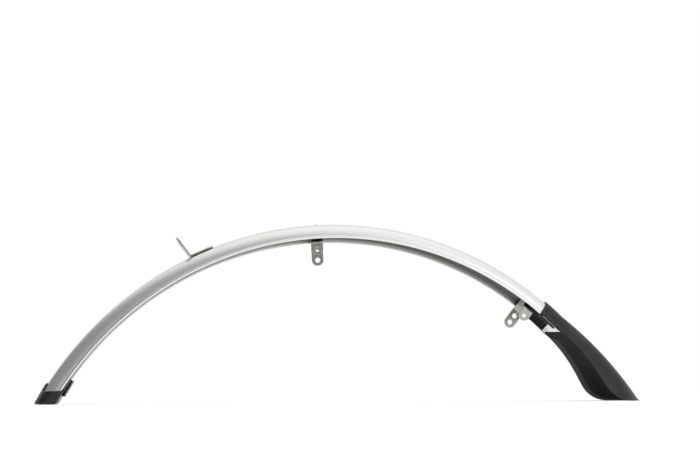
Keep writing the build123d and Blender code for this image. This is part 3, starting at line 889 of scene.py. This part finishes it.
for side in (1, -1):
    hook_line = [(hook_in, lip_foot, 0), (hook_out, lip_foot, 0)]
    hook_line += [(hook_out, sleeve_foot, 0)]
    for k in range(13):
        a = math.radians(50 - 230 * k / 12)
        hook_line.append((bead_y + hook_wall * math.cos(a), bead_level + hook_wall * math.sin(a), 0))
    hook_line.append((hook_in, bead_level, 0))
    first = len(verts)
    for turn in (sleeve_turn + 0.0002, sleeve_turn + 0.0030 / edge_radius):
        verts += [on_arc(r, turn, side * y) for y, r, _ in hook_line]
    many = len(hook_line)
    for k in range(many):
        nxt = (k + 1) % many
        faces.append((first + k, first + nxt, first + many + nxt, first + many + k)[::side])
    faces.append(tuple(first + k for k in range(many))[:: -side])
    faces.append(tuple(first + many + k for k in range(many))[::side])
flap = put_in_scene("mud_flap_moulding", verts, faces, "mud_flap", 42)
flap.data.materials.append(moulded("flap_black", (0.030, 0.0308, 0.0318), 0.50, 2200, 0.26))
# Painted highlight: a band along the free edges is painted about twice as light as the rest of the flap,
# and it is also smoother and glossier.
flap.data.materials.append(moulded("flap_rim_painted_highlight", (0.062, 0.0635, 0.0655), 0.36, 2200, 0.50))
ring = 2 * (2 * columns + 1)
# Faces near the free edges, in a wider band on the inside, take the painted highlight.
for number, face in enumerate(flap.data.polygons):
    row, k = divmod(number, ring)
    if row < len(turns) - 1:
        from_edge = min(abs(k - 2 * columns), ring - 1 - k, k + 1)
        inside = k > 2 * columns
        rim_highlight_band = min(row + 1 - sleeve_rows, rim_highlight_columns if inside else 4)
        face.material_index = 1 if from_edge < rim_highlight_band else 0

# Stage. A plain white floor, a white room, a large soft box to the right and one above. The left side
# of the room is darker, so that the satin metal shades from grey to white along the blade.
floor_mesh = bpy.data.meshes.new("floor")
floor_mesh.from_pydata([(-6, -4, 0), (6, -4, 0), (6, 8, 0), (-6, 8, 0)], [], [(0, 1, 2, 3)])
floor = bpy.data.objects.new("floor", floor_mesh)
bpy.context.scene.collection.objects.link(floor)
paper = bpy.data.materials.new("white_paper")
paper.use_nodes = True
nodes, links = paper.node_tree.nodes, paper.node_tree.links
bsdf = nodes["Principled BSDF"]
bsdf.inputs["Base Color"].default_value = (0.88, 0.88, 0.88, 1)
bsdf.inputs["Roughness"].default_value = 0.95
bsdf.inputs["Specular IOR Level"].default_value = 0.1
glow = nodes.new("ShaderNodeEmission")
glow.inputs["Color"].default_value = (1, 1, 1, 1)
seen = nodes.new("ShaderNodeLightPath")
rays = seen.outputs["Is Camera Ray"]
dim = nodes.new("ShaderNodeMath")
dim.operation = "MULTIPLY"
dim.inputs[1].default_value = 0.35
both = nodes.new("ShaderNodeAddShader")
for ray in ("Is Glossy Ray", "Is Transmission Ray"):
    also = nodes.new("ShaderNodeMath")
    also.operation = "ADD"
    links.new(rays, also.inputs[0])
    links.new(seen.outputs[ray], also.inputs[1])
    rays = also.outputs[0]
links.new(rays, dim.inputs[0])
links.new(dim.outputs[0], glow.inputs["Strength"])
links.new(bsdf.outputs[0], both.inputs[0])
links.new(glow.outputs[0], both.inputs[1])
links.new(both.outputs[0], nodes["Material Output"].inputs["Surface"])
floor_mesh.materials.append(paper)

room = bpy.data.worlds.new("studio_room")
bpy.context.scene.world = room
room.use_nodes = True
nodes, links = room.node_tree.nodes, room.node_tree.links
shaded = nodes["Background"]
shaded.inputs["Color"].default_value = (1, 1, 1, 1)
white = nodes.new("ShaderNodeBackground")
white.inputs["Color"].default_value = (1, 1, 1, 1)
white.inputs["Strength"].default_value = 1.0
place = nodes.new("ShaderNodeTexCoord")
towards = nodes.new("ShaderNodeVectorMath")
towards.operation = "DOT_PRODUCT"
towards.inputs[1].default_value = (0.75, 0.25, 0.62)
fall = nodes.new("ShaderNodeMapRange")
fall.interpolation_type = "SMOOTHSTEP"
fall.inputs["From Min"].default_value = -0.02
fall.inputs["From Max"].default_value = 0.30
fall.inputs["To Min"].default_value = 0.27
fall.inputs["To Max"].default_value = 0.97
links.new(place.outputs["Generated"], towards.inputs[0])
links.new(towards.outputs["Value"], fall.inputs["Value"])
links.new(fall.outputs[0], shaded.inputs["Strength"])
behind = nodes.new("ShaderNodeVectorMath")
behind.operation = "DOT_PRODUCT"
behind.inputs[1].default_value = (0.16, 0.98, 0.12)
backdrop = nodes.new("ShaderNodeMapRange")
backdrop.interpolation_type = "SMOOTHSTEP"
backdrop.inputs["From Min"].default_value = 0.70
backdrop.inputs["From Max"].default_value = 0.95
seen = nodes.new("ShaderNodeLightPath")
mirrored = nodes.new("ShaderNodeMath")
mirrored.operation = "ADD"
on_backdrop = nodes.new("ShaderNodeMath")
on_backdrop.operation = "MULTIPLY"
either = nodes.new("ShaderNodeMath")
either.operation = "MAXIMUM"
links.new(place.outputs["Generated"], behind.inputs[0])
links.new(behind.outputs["Value"], backdrop.inputs["Value"])
links.new(seen.outputs["Is Glossy Ray"], mirrored.inputs[0])
links.new(seen.outputs["Is Transmission Ray"], mirrored.inputs[1])
links.new(mirrored.outputs[0], on_backdrop.inputs[0])
links.new(backdrop.outputs[0], on_backdrop.inputs[1])
links.new(seen.outputs["Is Camera Ray"], either.inputs[0])
links.new(on_backdrop.outputs[0], either.inputs[1])
mix = nodes.new("ShaderNodeMixShader")
links.new(either.outputs[0], mix.inputs[0])
links.new(shaded.outputs[0], mix.inputs[1])
links.new(white.outputs[0], mix.inputs[2])
links.new(mix.outputs[0], nodes["World Output"].inputs["Surface"])

for name, spot, aim, wide, high, radiance in (
    ("soft_box_right", (1.05, -1.75, 0.55), (0.10, 0, 0.10), 1.7, 1.5, 0.42),
    ("soft_box_above", (0.30, 0.10, 1.40), (0.05, 0, 0.0), 1.6, 1.2, 0.12),
):
    light = bpy.data.lights.new(name, "AREA")
    light.shape = "RECTANGLE"
    light.size, light.size_y = wide, high
    light.energy = radiance * math.pi * wide * high
    lamp = bpy.data.objects.new(name, light)
    away = (Vector(aim) - Vector(spot)).to_track_quat("-Z", "Y").to_matrix().to_4x4()
    lamp.matrix_world = Matrix.Translation(spot) @ away
    bpy.context.scene.collection.objects.link(lamp)

# Camera at the viewing angle of the photograph, low and a little from the left
yaw, pitch, roll_angle = math.radians(9.449), math.radians(7.176), math.radians(-0.315)
look = Vector((math.sin(yaw) * math.cos(pitch), math.cos(yaw) * math.cos(pitch), math.sin(pitch)))
level = Vector((math.cos(yaw), -math.sin(yaw), 0))
upward = level.cross(look)
side = level * math.cos(roll_angle) + upward * math.sin(roll_angle)
top = -level * math.sin(roll_angle) + upward * math.cos(roll_angle)
camera_data = bpy.data.cameras.new("camera")
camera_data.lens = 64.515
camera_data.sensor_width = 36
camera_data.clip_start = 0.01
camera = bpy.data.objects.new("camera", camera_data)
camera.matrix_world = Matrix((
    (side.x, top.x, -look.x, -0.2258),
    (side.y, top.y, -look.y, -1.381),
    (side.z, top.z, -look.z, 0.012),
    (0, 0, 0, 1),
))
bpy.context.scene.collection.objects.link(camera)
bpy.context.scene.camera = camera
bpy.context.scene.view_settings.view_transform = "Standard"
